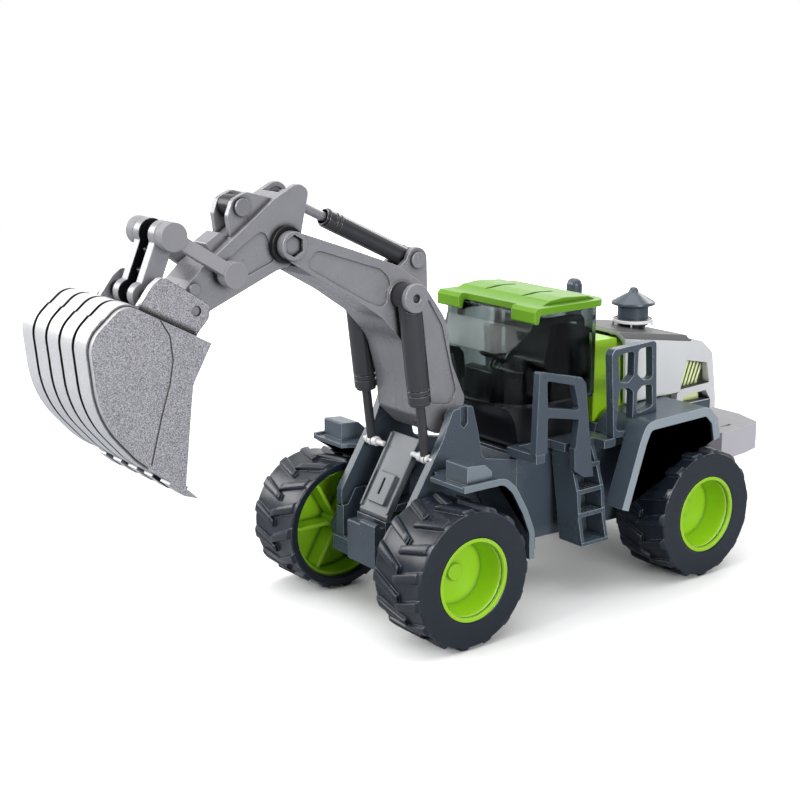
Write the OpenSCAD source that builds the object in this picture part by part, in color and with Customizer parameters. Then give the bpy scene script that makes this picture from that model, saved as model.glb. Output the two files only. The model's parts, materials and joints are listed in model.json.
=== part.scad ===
// Toy excavator: a wheeled carrier with a folding digging arm on its front tower.
// Millimetres. X points forwards, Y to the left, Z up, and the wheels stand on Z = 0.
// The arm is drawn as it rests: boom raised, bucket curled towards the machine.
// Places along X are counted from the front axle.

/* [Wheels] */
// Radius over the tread lugs
wheel_r = 40; // [38:0.5:41]
// Width of one tyre
tyre_w = 39; // [36:0.5:39]
// Distance between the two axles
wheel_base = 185.3; // [183:0.1:187]
// Distance between the outer faces of the left and right tyres
track_w = 158.6; // [157:0.2:162]
// Lugs on each half of a tyre
lug_count = 15; // [12:1:17]
// Ribs on the back of a rim
rim_ribs = 6; // [3:1:8]
// Radius of the steel axles
axle_r = 2.5; // [2:0.1:2.8]

/* [Carrier] */
// Width of the chassis behind the tower
chassis_w = 68; // [64:1:68]
// Thickness of moulded walls
wall = 2.5; // [2:0.1:3]
// Thickness of the tower cheek plates
tower_t = 5; // [4:0.5:6]
// Width over both fenders
fender_w = 142; // [138:1:146]
// Width of the cab roof
roof_w = 87; // [82:1:90]
// Width of the hood
hood_w = 70; // [66:1:72]
// Upright slats on each side of the rear grille
slat_count = 6; // [4:1:8]
// Serrations on each ladder tread
tread_teeth = 6; // [4:1:8]

/* [Arm] */
// Width over the boom plates
boom_w = 36; // [34:1:38]
// Width of the stick
stick_w = 23.2; // [22:0.2:24]
// Radius of the boom cylinder barrels
boom_barrel_r = 6.5; // [6:0.1:6.6]
// Radius of the stick cylinder barrel
stick_barrel_r = 5.4; // [5.3:0.1:5.8]
// Radius of the piston rods
rod_r = 2.7; // [2.4:0.1:2.8]

/* [Bucket] */
// Width of the bucket over its side plates
bucket_w = 76; // [70:1:80]
// Thickness of the bucket's side plates and shell
bucket_t = 2.6; // [2:0.1:3]
// Teeth along the cutting edge
tooth_count = 5; // [3:1:7]
// Raised bands across the back of the bucket
band_count = 5; // [3:1:6]

/* [Fits] */
// Radial clearance of a pin that turns in its bore
running = 0.06; // [0.03:0.01:0.1]
// Gap between parts that pass each other
gap = 0.4; // [0.3:0.05:0.5]

/* [Hidden] */
$fn = 64;

lime = "yellowgreen";
slate = "slategray";
dark_slate = "darkslategray";
arm_grey = "dimgray";
silver_grey = "silver";

// From the front axle to the middle of the overall length
front_reach = 197.6;
rear_reach = 285;
origin_x = (rear_reach - front_reach) / 2;

// Axle height and places, as [x, z]
front_axle_at = [0, wheel_r];
rear_axle_at = [-wheel_base, wheel_r];

// Arm pivots, as [x, z]
boom_pivot = [-29.7, 113.5];
rod_anchor = [-9.4, 94];
elbow = [2.4, 186.5];
stick_barrel_pivot = [-15.9, 203.1];
stick_pivot = [72.5, 219.6];
stick_rod_pivot = [63, 241];
dog_bone_pivot = [109.5, 208.5];
bucket_pivot = [132, 193];
link_pivot = [153.6, 201.2];
link_joint = [140.2, 229.4];

chassis_y = chassis_w / 2;
boom_y = boom_w / 2;
stick_y = stick_w / 2;
fender_y = fender_w / 2;
hood_y = hood_w / 2;
bucket_y = bucket_w / 2;
tyre_outer_y = track_w / 2;
tyre_inner_y = tyre_outer_y - tyre_w;

// ---- Outlines -------------------------------------------------------------------------------

function unit(v) = v / norm(v);
function cross2(a, b) = a[0] * b[1] - a[1] * b[0];
function flat_point(p) = [p[0], p[1]];
function corner_radius(p) = len(p) > 2 ? p[2] : 0;
function wrapped(points, i) = points[(i + len(points)) % len(points)];

// Points of the arc of radius r that rounds corner b between a and c
function corner_arc(a, b, c, r, steps) =
    let (
        to_a = unit(a - b),
        to_c = unit(c - b),
        half = acos(to_a * to_c) / 2,
        centre = b + unit(to_a + to_c) * r / sin(half),
        first = b + to_a * r / tan(half) - centre,
        last = b + to_c * r / tan(half) - centre,
        start = atan2(first[1], first[0]),
        turn = atan2(last[1], last[0]) - start,
        sweep = turn > 180 ? turn - 360 : (turn < -180 ? turn + 360 : turn)
    )
    [for (i = [0:steps]) centre + r * [cos(start + sweep * i / steps), sin(start + sweep * i / steps)]];

// A closed outline whose points are [x, z] or [x, z, corner radius]
function rounded(points, steps = 4) = [
    for (i = [0:len(points) - 1])
        let (b = points[i], r = corner_radius(b))
        each r > 0
            ? let (a = flat_point(wrapped(points, i - 1)), c = flat_point(wrapped(points, i + 1)))
                corner_arc(a, flat_point(b), c, r, steps)
            : [flat_point(b)]
];

// Moves one corner sideways by d, to the left of travel, and keeps its rounding concentric
function moved_corner(a, b, c, d) =
    let (
        along_in = unit(flat_point(b) - flat_point(a)),
        along_out = unit(flat_point(c) - flat_point(b)),
        left_in = [-along_in[1], along_in[0]],
        left_out = [-along_out[1], along_out[0]],
        shift = d * (left_in + left_out) / (1 + left_in * left_out),
        r = corner_radius(b),
        moved_r = r > 0 ? max(0.3, r - d * sign(cross2(along_in, along_out))) : 0
    )
    [b[0] + shift[0], b[1] + shift[1], moved_r];

// A closed outline moved to the left of its travel by d
function inset(points, d) = [
    for (i = [0:len(points) - 1]) moved_corner(wrapped(points, i - 1), points[i], wrapped(points, i + 1), d)
];

// An open path given a thickness t on the left of its travel
function ribbon(path, t) =
    let (
        last = len(path) - 1,
        edge = [
            for (i = [0:last])
                let (
                    a = i > 0 ? path[i - 1] : 2 * flat_point(path[0]) - flat_point(path[1]),
                    c = i < last ? path[i + 1] : 2 * flat_point(path[last]) - flat_point(path[last - 1])
                )
                moved_corner(a, path[i], c, t)
        ]
    )
    concat(path, [for (i = [last:-1:0]) edge[i]]);

module outline(points, steps = 4) {
    polygon(rounded(points, steps));
}

// ---- Placing --------------------------------------------------------------------------------

// Puts the origin under the middle of the whole toy
module placed() {
    translate([origin_x, 0, 0]) children();
}

// An XZ outline made into a plate between two Y values
module plate(y_low, y_high) {
    translate([0, y_high, 0]) rotate([90, 0, 0]) linear_extrude(y_high - y_low) children();
}

// The same plate on the left and on the right
module plate_pair(y_low, y_high) {
    plate(y_low, y_high) children();
    plate(-y_high, -y_low) children();
}

// A round bar along Y
module bar(at, r, y_low, y_high) {
    translate([at[0], y_high, at[1]]) rotate([90, 0, 0]) cylinder(r = r, h = y_high - y_low);
}

module bar_pair(at, r, y_low, y_high) {
    bar(at, r, y_low, y_high);
    bar(at, r, -y_high, -y_low);
}

// A hexagonal bar along Y that stands on one corner; r reaches to its corners
module hex_bar(at, r, y_low, y_high) {
    translate([at[0], y_high, at[1]]) rotate([90, 0, 0]) rotate([0, 0, 90])
        cylinder(r = r, h = y_high - y_low, $fn = 6);
}

// A [radius, y] profile turned about the Y axis through a point
module turned(at) {
    translate([at[0], 0, at[1]]) rotate([-90, 0, 0]) rotate_extrude() children();
}

// side = 1 draws on the left, side = -1 on the right
module on_side(side) {
    if (side > 0) children();
    else mirror([0, 1, 0]) children();
}

// A round bar between two [x, z] points at one Y
module strut(from, to, y, r) {
    reach = to - from;
    translate([from[0], y, from[1]])
        rotate([0, atan2(reach[0], reach[1]), 0])
            cylinder(r = r, h = norm(reach));
}

// ---- Wheels ---------------------------------------------------------------------------------

tread_r = wheel_r - 2.4;
bead_r = wheel_r - 16.6;
drum_r = wheel_r - 7;
rim_back_y = tyre_inner_y + 4;
rim_floor_y = tyre_outer_y - 18;
hub_r = 5.5;
dish_r = 18;

module axle(at) {
    color("silver") placed() bar(at, axle_r, -rim_floor_y + 3, rim_floor_y - 3);
}

module rim(at, side) {
    color(lime) placed() on_side(side) difference() {
        union() {
            turned(at) polygon([
                [0, rim_back_y + 2], [hub_r, rim_back_y + 2], [hub_r, rim_floor_y - 2.5],
                [drum_r - 2, rim_floor_y - 2.5], [drum_r - 2, rim_back_y], [drum_r, rim_back_y],
                [drum_r, rim_floor_y], [dish_r + 2, rim_floor_y], [bead_r - 2.4, tyre_outer_y - 1.5],
                [bead_r, tyre_outer_y - 1.2], [bead_r, tyre_outer_y], [bead_r - 2, tyre_outer_y],
                [dish_r, rim_floor_y + 1.2], [hub_r - 0.5, rim_floor_y],
                [hub_r - 1, rim_floor_y + 2], [0, rim_floor_y + 2]
            ]);
            for (i = [0:rim_ribs - 1])
                translate([at[0], 0, at[1]]) rotate([0, i * 360 / rim_ribs, 0])
                    translate([hub_r - 1, rim_back_y + 3, -1])
                        cube([drum_r - hub_r, rim_floor_y - rim_back_y - 4, 2]);
        }
        bar(at, axle_r, 0, rim_floor_y - 3);
    }
}

lug_angle = 360 / lug_count;
lug_t = 4.5;
lug_flare = 1.3;
outer_rake = 16;
inner_rake = 22;
front_turn = 15;
rear_turn = 6.5;

// One row of raked lugs between the middle of the tread and the shoulder
module lug_row(at, y_mid, y_shoulder, rake, start) {
    width = abs(y_shoulder - y_mid);
    heading = sign(y_shoulder - y_mid);
    for (i = [0:lug_count - 1])
        translate([at[0], y_mid, at[1]]) rotate([0, i * lug_angle - start, 0])
            translate([tread_r - 1, 0, 0]) rotate([90, 0, 90])
                linear_extrude(wheel_r - tread_r + 2)
                    polygon([
                        [-heading * 1.5, 0],
                        [heading * width, width * tan(rake)],
                        [heading * width, width * tan(rake) + lug_t * lug_flare],
                        [-heading * 1.5, lug_t]
                    ]);
}

module tyre(at, side, turn) {
    middle_y = (tyre_inner_y + tyre_outer_y) / 2;
    color("darkslategray") placed() on_side(side) union() {
        turned(at) polygon([
            [drum_r, tyre_inner_y + 1], [drum_r + 1, tyre_inner_y], [tread_r - 1.6, tyre_inner_y],
            [tread_r, tyre_inner_y + 2], [tread_r, tyre_outer_y - 2], [tread_r - 1.6, tyre_outer_y - 0.4],
            [bead_r + 3, tyre_outer_y], [bead_r, tyre_outer_y], [bead_r, tyre_outer_y - 1.2],
            [bead_r, tyre_outer_y - 4], [drum_r, tyre_outer_y - 4]
        ]);
        intersection() {
            union() {
                lug_row(at, middle_y, tyre_inner_y + 0.5, inner_rake, turn);
                lug_row(at, middle_y, tyre_outer_y - 0.4, outer_rake, turn - lug_angle / 2);
            }
            turned(at) polygon([
                [tread_r - 0.6, tyre_inner_y + 0.3], [tread_r + 1, tyre_inner_y + 0.3],
                [wheel_r, tyre_inner_y + 2], [wheel_r, tyre_outer_y - 1.8],
                [tread_r + 1.2, tyre_outer_y - 0.6], [tread_r - 0.6, tyre_outer_y - 0.6]
            ]);
        }
    }
}

// ---- Chassis and tower ----------------------------------------------------------------------

tower_out = chassis_y;
tower_in = tower_out - tower_t;
deck_z = 66;
platform_z = 88;
rear_deck_z = 96;
keel_z = 34;
rear_end_x = -236;
tub_front_x = 10;
tub_joint_x = -70;
bearing_r = 8;
bearing_out = tyre_inner_y + 3;

front_tub = [
    [tub_front_x, keel_z + 2, 2], [tub_front_x, 57], [6.5, 57], [1.2, deck_z], [-40, deck_z],
    [tub_joint_x, platform_z - 2], [tub_joint_x, keel_z], [-10, keel_z]
];
rear_tub = [
    [tub_joint_x, keel_z], [tub_joint_x, platform_z], [-132, platform_z], [-134, rear_deck_z],
    [rear_end_x, rear_deck_z], [rear_end_x, 57, 3], [-214, keel_z - 2, 4], [-150, keel_z - 2]
];

// Pockets open below, as [rear x, front x, roof z]
tub_pockets = [
    [-66, -38, 62], [-34, -16, 62], [-8, 6, 62],
    [-101, -74, platform_z - 3], [-130, -104, platform_z - 3],
    [-170, -138, rear_deck_z - 3], [-201, -173, rear_deck_z - 3], [-231, -204, rear_deck_z - 3]
];

module chassis() {
    color(slate) placed() difference() {
        union() {
            plate(-tower_in, tower_in) outline(front_tub);
            plate(-chassis_y, chassis_y) outline(rear_tub);
            bar(front_axle_at, bearing_r, -bearing_out, bearing_out);
            bar(rear_axle_at, bearing_r, -bearing_out, bearing_out);
            // front wall that carries the bumper, out to the faces of the tower
            plate(-tower_out, tower_out) outline([
                [8.3, keel_z + 2], [8.3, 55.9], [tub_front_x, 55.9], [tub_front_x, keel_z + 2]
            ]);
            // mudguard brackets low on both sides
            plate_pair(chassis_y - 4, chassis_y) outline([
                [-80, 26, 1.5], [-80, 38], [-86, 38], [-86, 26, 1.5]
            ]);
        }
        for (p = tub_pockets) {
            side = p[0] < tub_joint_x ? chassis_y - 3 : tower_in - 3;
            translate([p[0], -side, keel_z - 12]) cube([p[1] - p[0], 2 * side, p[2] - keel_z + 12]);
        }
        // open wells between the tower's cheeks and its middle cover
        for (s = [0, 1]) mirror([0, s, 0])
            translate([-6, cover_half + 0.4, 38]) cube([20, tower_in - cover_half - 2.2, deck_z]);
        bar(front_axle_at, axle_r + running, -bearing_out - 1, bearing_out + 1);
        bar(rear_axle_at, axle_r + running, -bearing_out - 1, bearing_out + 1);
        screws();
    }
}

// Screw heads in the ribs under the tub, as [x, y]
screw_places = [[-12, 16], [-12, -16], [-134, 20], [-134, -20]];
screw_z = 33;

module screws() {
    for (p = screw_places) translate([p[0], p[1], 0]) {
        translate([0, 0, screw_z - 3]) cylinder(r = 2.6, h = 5);
        translate([0, 0, screw_z]) cylinder(r = 1.4, h = 16);
    }
}

module body_screws() {
    color("silver") placed() difference() {
        screws();
        translate([-200, -50, 0]) cube([300, 100, screw_z]);
    }
}

tower_pin_r = 2.45;
anchor_pin_r = 1.6;
pin_end_y = tower_in + 2.2;
slot_half = 2.5;
tower_outline = [
    [tub_front_x - 0.2, 56, 2], [tub_front_x - 0.2, 65.9, 2], [-14.6, 105.2], [-21.8, 121.5, 2.5],
    [-35.9, 122.3, 2],
    [-39.9, 108], [-43.2, 91.9, 3], [-46.3, 89.5, 2], [-69.8, 84.8], [-69.8, 56, 2]
];

module tower(side) {
    color(slate) placed() on_side(side) difference() {
        plate(tower_in, tower_out) outline(tower_outline);
        // guide slot on the outer face, open at the top
        plate(pin_end_y + 0.6, tower_out + 1) outline([
            [boom_pivot[0] + slot_half, 124], [boom_pivot[0] + slot_half, 112.6], [boom_pivot[0], 110],
            [boom_pivot[0] - slot_half, 112.6], [boom_pivot[0] - slot_half, 124]
        ]);
        bar(boom_pivot, tower_pin_r + running, tower_in - 1, pin_end_y + 0.3);
        bar(rod_anchor, anchor_pin_r, tower_in - 1, tower_out - 2);
    }
}

cover_top = [-15.7, 101];
cover_foot = [8.7, 59.2];
cover_half = 13;

// The sloping cover lies along a line from its top to its foot
module along_cover() {
    slope = cover_foot - cover_top;
    translate([cover_top[0], 0, cover_top[1]])
        rotate([0, 90 - atan2(slope[0], -slope[1]), 0])
            children();
}

module center_cover() {
    slope = norm(cover_foot - cover_top);
    color(slate) placed() difference() {
        union() {
            plate(-cover_half, cover_half) outline([
                cover_top, cover_foot, [cover_foot[0], 57], [6.5, 57], [1.2, deck_z], [-18.3, 99.5]
            ]);
            // stiffening rib behind
            plate(-1.5, 1.5) outline([[-18.3, 99.5], [1.2, deck_z], [-16, deck_z], [-20, 96]]);
            // raised block on the lower half, and a narrow flange down each edge
            along_cover() {
                translate([slope * 0.5, -7.5, -0.5]) cube([slope * 0.38, 15, 2.7]);
                for (s = [-1, 1])
                    translate([1, s > 0 ? cover_half - 1.6 : -cover_half, -0.5])
                        cube([slope - 3, 1.6, 1.7]);
            }
        }
        along_cover() translate([slope * 0.57, -0.8, 1]) cube([slope * 0.2, 1.6, 3]);
    }
}

bumper_y = cover_half - 0.2;
bumper_front_x = 17.3;

module front_bumper() {
    color(slate) placed() difference() {
        union() {
            plate(-bumper_y, bumper_y) outline([
                [tub_front_x, 30], [tub_front_x, 54], [bumper_front_x, 54, 1], [bumper_front_x, 30, 1]
            ]);
            // hook along the top, from the middle to the left
            plate(-1, bumper_y) outline([
                [13, 53], [13, 56, 1], [15, 57.2, 1.5], [bumper_front_x, 55.5, 1], [bumper_front_x, 53]
            ]);
            // beam between the wheels
            plate(-35.5, 35.5) outline([
                [tub_front_x, 28.2], [tub_front_x, 38], [11.6, 37.6], [11.6, 28.6]
            ]);
        }
        // hollow behind, open to the rear and below
        plate(-bumper_y + wall, bumper_y - wall) outline([
            [tub_front_x - 1, 27], [tub_front_x - 1, 51.5], [14.8, 51.5], [14.8, 27]
        ]);
    }
}

bush_r = 2.8;
bush_in = 19.5;
rod_eye_half = 1.6;
boom_cylinder_y = 25;

module tower_pins() {
    color("whitesmoke") placed()
        for (s = [0, 1]) mirror([0, s, 0]) {
            bar(rod_anchor, anchor_pin_r, cover_half, tower_out - 2);
            bar(rod_anchor, bush_r, bush_in, boom_cylinder_y - rod_eye_half - 0.3);
            bar(rod_anchor, bush_r, boom_cylinder_y + rod_eye_half + 0.3, tower_in);
        }
}

// ---- Fenders --------------------------------------------------------------------------------

front_fender_path = [
    [-47.4, 39], [-47.1, 54.5, 8], [-41.8, 67, 20], [-34, 80.5, 12], [-27.5, 86.5, 8], [0.5, 86.5]
];

module front_fender(side) {
    color(slate) placed() on_side(side) {
        difference() {
            union() {
                plate(tower_out, fender_y) outline(ribbon(front_fender_path, wall));
                // stiffening lip along the outer edge
                plate(fender_y - 2, fender_y) outline(ribbon(inset(front_fender_path, -0.01), wall + 1.2));
            }
            // the front inner corner is cut away round the tyre
            translate([1, tower_out - 1, 80]) cylinder(r = 9, h = 20);
        }
        // lamp box on the top sheet
        plate(49, 67) outline([
            [-4.7, 86.5 + wall], [-4.7, 99.5, 1], [-17, 98.5, 1], [-22, 94, 1], [-22, 86.5 + wall]
        ]);
    }
}

// The outer surface of the rear fender, from the front leg's foot over the wheel to the rear
rear_fender_path = [
    [-120.3, 53.5], [-133.5, 92, 20], [-139, 103.6, 9], [-192.7, 104.8, 9], [-201.2, 96.3, 6],
    [-203.9, 83.7]
];
leg_y = 57.5;
fender_top_z = 104.8;

module rear_fender(side) {
    top_path = concat([[-133.5, 92]], [for (i = [2:len(rear_fender_path) - 1]) rear_fender_path[i]]);
    color(slate) placed() on_side(side) {
        plate(leg_y, fender_y) outline(ribbon(rear_fender_path, wall));
        plate(chassis_y, leg_y) outline(ribbon(top_path, wall));
        // flange down the outer edge, and the inner wall that bolts to the chassis
        plate(fender_y - 2, fender_y) outline(ribbon(rear_fender_path, 5.6));
        plate(chassis_y, chassis_y + 2) outline(concat(top_path, [[-196, 80, 3], [-140, 80, 3]]));
    }
}

// ---- Cab ------------------------------------------------------------------------------------

cab_back_x = -126;
cab_floor_z = 117;
cab_top_z = 170;
cab_y = 39;
pedestal_y = 32;
base_top_z = 115;

// Plan of the cabin: straight sides and a bowed front, drawn t inside the outer skin
module cab_plan(t) {
    front_x = -84;
    bow = 30;
    half = cab_y - t;
    reach = bow - t;
    polygon(concat(
        [[cab_back_x + t, -half], [cab_back_x + t, half]],
        [for (a = [90:-15:-90]) [front_x + reach * cos(a) * (1 - 0.16 * cos(a)), half * sin(a)]]
    ));
}

// Side view of the cabin, drawn t inside the outer skin
module cab_side(t, floor_drop) {
    outline([
        [cab_back_x + t, cab_floor_z - floor_drop], [cab_back_x + t, cab_top_z - t],
        [-77.5 - t, cab_top_z - t], [-75 - t, 160, 4], [-66 - t, 148, 16], [-59 - t, 121, 8],
        [-60 - t, cab_floor_z - floor_drop]
    ]);
}

module cab_glass() {
    glass_t = 1.6;
    color("lightgray", 0.4) placed() difference() {
        intersection() {
            plate(-cab_y, cab_y) cab_side(0, 0);
            translate([0, 0, cab_floor_z - 1]) linear_extrude(60) cab_plan(0);
        }
        intersection() {
            plate(-cab_y, cab_y) cab_side(glass_t, 2);
            translate([0, 0, cab_floor_z - 3]) linear_extrude(70) cab_plan(glass_t);
        }
    }
}

// The cabin floor tray and the pedestal under it
module cab_base() {
    color("black") placed() {
        translate([0, 0, base_top_z]) linear_extrude(cab_floor_z - base_top_z) cab_plan(0.4);
        plate(-pedestal_y, pedestal_y) outline([
            [-124, platform_z], [-126, base_top_z], [-64, base_top_z], [-70, 106, 20], [-74, platform_z, 3]
        ]);
    }
}

frame_t = 3;

module cab_frame() {
    inner = cab_y - 1.6;
    color(dark_slate) placed() {
        // rear wall, and an arch down each side behind the seat
        translate([cab_back_x + 1.7, -inner + 2, cab_floor_z]) cube([frame_t, 2 * inner - 4, 40]);
        plate_pair(inner - frame_t, inner - 0.1) outline(ribbon([
            [-118, cab_floor_z], [-118, 166, 5], [-84, 166, 5], [-84, 158]
        ], -4));
    }
}

roof_front_x = -73;
roof_back_x = -131;
roof_z = cab_top_z;

module cab_roof() {
    half = roof_w / 2;
    color(lime) placed() {
        difference() {
            union() {
                translate([0, 0, roof_z]) linear_extrude(4) outline([
                    [roof_front_x - 5, -half + 21], [roof_front_x - 5, half - 21],
                    [roof_front_x - 2, half - 18],
                    [roof_front_x - 2, half, 3], [roof_back_x, half, 9], [roof_back_x, -half, 9],
                    [roof_front_x - 2, -half, 3], [roof_front_x - 2, -half + 18]
                ]);
                // crowned middle panel
                plate(-half + 5, half - 5) outline([
                    [roof_front_x - 10, roof_z + 3.9], [roof_front_x - 16, roof_z + 6.4, 3],
                    [-100, roof_z + 7.4, 40], [roof_back_x + 12, roof_z + 6.2, 3],
                    [roof_back_x + 6, roof_z + 3.9]
                ]);
            }
            // two shallow channels along the crown
            for (s = [-1, 1])
                translate([-112, s * 16 - 1.5, roof_z + 6]) cube([26, 3, 5]);
        }
        // lamp housings hanging from the front corners
        for (s = [-1, 1])
            translate([0, s * (half - 10), 0]) plate(-10, 10) outline([
                [roof_front_x - 2, roof_z + 4, 1], [roof_front_x, roof_z + 2, 1],
                [roof_front_x, roof_z - 5, 1],
                [roof_front_x - 2.9, roof_z - 5], [roof_front_x - 4.2, roof_z],
                [roof_front_x - 4.2, roof_z + 4]
            ]);
    }
}

module seat() {
    color("black") placed() {
        plate(-13, 13) outline([
            [-93, 124, 3], [-93, 130, 3], [-109, 131, 4], [-114, 156, 3], [-120, 156, 3], [-117, 124, 3]
        ]);
        plate(-8, 8) outline([[-98, cab_floor_z], [-98, 124.5], [-114, 124.5], [-114, cab_floor_z]]);
    }
}

wheel_lean = 25;
wheel_at = [-82, 138];

module steering_wheel() {
    color("black") placed() translate([wheel_at[0], 0, wheel_at[1]]) rotate([0, -wheel_lean, 0]) {
        rotate_extrude() translate([8.5, 0]) circle(r = 1.1, $fn = 24);
        for (a = [0, 120, 240]) rotate([0, 0, a]) translate([0, -0.8, -0.8]) cube([8, 1.6, 1.6]);
        cylinder(r = 3.4, h = 1.2);
    }
    color("black") placed() wheel_column();
}

module wheel_column() {
    translate([wheel_at[0], 0, wheel_at[1]]) rotate([0, -wheel_lean, 0])
        translate([0, 0, -10]) cylinder(r = 2, h = 10.8);
}

module dashboard() {
    color(dark_slate) placed() difference() {
        plate(-12, 12) outline([
            [-68, cab_floor_z], [-69, 133, 2], [-75, 134, 2], [-83, 126, 3], [-79, cab_floor_z]
        ]);
        wheel_column();
    }
}

// ---- Ladder, rails and guards ---------------------------------------------------------------

// A YZ outline made into a plate between two X values
module cross_plate(x_low, x_high) {
    translate([x_low, 0, 0]) rotate([90, 0, 90]) linear_extrude(x_high - x_low) children();
}

rail_out = 57;
rail_in = 52;
step_front_x = -96.5;
step_rear_x = -118;
step_wall = 2.2;
step_floor_z = 33.5;
landing_z = 93;
landing_front_x = -94.5;
landing_y = 48.2;

stringer = [
    [chassis_y + 0.5, platform_z], [landing_y, platform_z], [54, 74.9], [57.6, 64.2],
    [59.1, 48.2], [62.8, step_floor_z], [43.5, step_floor_z], [41.3, 48.3]
];

// Treads, as [outer y, top z, depth]
treads = [[59, 52.6, 14], [57.2, 66.2, 13], [53.6, 80, 11]];

module tread(t) {
    span = step_front_x - step_rear_x;
    pitch = (span - 2 * step_wall) / tread_teeth;
    translate([step_rear_x, t[0] - t[2], t[1] - 2.6]) cube([span, t[2], 1.8]);
    translate([step_rear_x, t[0] - 1.4, t[1] - 2.6]) cube([span, 1.4, 2.6]);
    for (i = [0:tread_teeth - 1])
        translate([step_rear_x + step_wall + (i + 0.25) * pitch, t[0] - t[2] * 0.6, t[1] - 0.8])
            cube([pitch / 2, t[2] * 0.6 - 1.4, 0.8]);
}

rail_outline = [
    [-65.2, 141.4, 1.5], [-98.1, 133.7, 2], [-101.6, 129.5, 2], [-107.8, 83.4], [-110, 72.6],
    [-102, 73.4], [-94.5, 78.5], [-93.6, landing_z], [-73.4, landing_z], [-63.5, landing_z]
];

module side_step(side) {
    color(slate) placed() on_side(side) difference() {
        ladder();
        plate(rail_in, rail_out) outline(rail_outline);
    }
}

module landing(x_low, x_high, y_out) {
    translate([x_low, pedestal_y, platform_z])
        cube([x_high - x_low, y_out - pedestal_y, landing_z - platform_z]);
}

module ladder() {
    union() {
        // landing beside the cab, lying on the platform, with a foot for the guard and one for the rail
        landing(-127, landing_front_x, landing_y);
        landing(-127, step_rear_x, rail_out);
        landing(landing_front_x - 1, -64, pedestal_y + 3);
        landing(-70.5, -64, rail_out);
        cross_plate(step_front_x - step_wall, step_front_x) outline(stringer);
        cross_plate(step_rear_x, step_rear_x + step_wall) outline(stringer);
        // riser behind the treads, leaning with the stringers
        cross_plate(step_rear_x, step_front_x) outline([
            [38.5, platform_z], [43, 48.5], [45, step_floor_z], [46.8, step_floor_z],
            [44.8, 48.5], [40.3, platform_z]
        ]);
        translate([step_rear_x, 45, step_floor_z]) cube([step_front_x - step_rear_x, 17.6, 2]);
        for (t = treads) tread(t);
        // arm that carries the ladder's foot on the chassis side
        translate([-112, chassis_y, 40]) cube([10, 10, 5]);
    }
}

module handrail(side) {
    color(slate) placed() on_side(side) plate(rail_in, rail_out) difference() {
        outline(rail_outline);
        outline([[-71.2, 135.3, 1], [-92.5, 129.8, 1.5], [-96.7, 114.7, 1], [-72, 119.6, 1]]);
        outline([[-72.2, 113.8, 1], [-96.9, 109, 1], [-94.6, landing_z - 1], [-72.6, landing_z - 1]]);
    }
}

guard_in = 51.5;

module guard(side) {
    color(slate) placed() on_side(side) difference() {
        plate(guard_in, rail_out) difference() {
            outline([
                [-121.6, 146.4, 4], [-125.5, landing_z], [-134, landing_z], [-161.5, 100],
                [-158.8, 147.8, 3]
            ]);
            outline([
                [-127.2, 142.6, 2.5], [-129, 126.4, 2.5], [-136, 125.2, 3], [-140.7, 129, 2],
                [-140.5, 144, 2.5]
            ]);
            outline([
                [-143.8, 144.2, 2.5], [-143.8, 129, 2], [-149, 125, 3], [-157, 124.6, 2.5],
                [-155.5, 145.2, 2.5]
            ]);
            outline([
                [-129.3, 122.6, 2.5], [-127, 97.2, 2.5], [-137, 96, 2.5], [-140.8, 101, 2],
                [-140.8, 119, 3], [-137, 122, 3]
            ]);
            outline([
                [-144, 118.6, 3], [-144, 105, 2.5], [-157.8, 107.6, 2.5], [-156.6, 121.6, 2.5],
                [-148, 121.6, 3]
            ]);
        }
        plate(guard_in - 1, rail_out + 1) outline(concat(rear_fender_path, [[-204, 40], [-120.3, 40]]));
    }
}

// ---- Rear body ------------------------------------------------------------------------------

hood_front_x = -155;
hood_front_z = 149;
hood_fall = 8.5;
hood_rear_z = 105;
chamfer_y = 4.2;
chamfer_z = 3.4;

// Draws [height above the hood's sloping top, y] outlines backwards along the top
module along_hood(from, to) {
    translate([hood_front_x, 0, hood_front_z]) rotate([0, -90 - hood_fall, 0])
        translate([0, 0, from]) linear_extrude(to - from) children();
}

module hood_section(t) {
    half = hood_y - t;
    polygon([
        [-60, -half], [-chamfer_z - t, -half], [-t, -half + chamfer_y], [-t, half - chamfer_y],
        [-chamfer_z - t, half], [-60, half]
    ]);
}

hood_outline = [
    [-157.5, hood_rear_z], [-156, 140], [-153, 153], [-214.7, 150], [-214.6, 130.8, 3],
    [-210.8, 124.5, 3], [-206.4, hood_rear_z]
];
intake_at = [-198, 0];
pipe_at = [-167, -22];
pipe_r = 5;
spigot_r = 8;

module hood_top() {
    color(silver_grey) placed() difference() {
        intersection() {
            plate(-hood_y, hood_y) outline(hood_outline);
            along_hood(-10, 70) hood_section(0);
        }
        along_hood(-20, 80) hood_section(wall);
        // notch in the front edge
        translate([-160, -22, 130]) cube([20, 44, 30]);
        translate([intake_at[0], intake_at[1], 120]) cylinder(r = spigot_r, h = 40);
        translate([pipe_at[0], pipe_at[1], 120]) cylinder(r = pipe_r, h = 40);
    }
}

module engine_body() {
    color(lime) placed() plate(-30, 30) outline([
        [-134.5, rear_deck_z], [-134.5, 146, 3], [-153.5, 146, 2], [-153.5, 140], [-174, 140, 2],
        [-174, rear_deck_z]
    ]);
}

shroud_outline = [
    [-204, rear_deck_z], [-207, 134], [-215.7, 137.6], [-225.2, 135.6, 8], [-236, 127, 6],
    [-241, rear_deck_z, 1], [-241, 90], [-236, 90], [-236, rear_deck_z]
];

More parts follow.
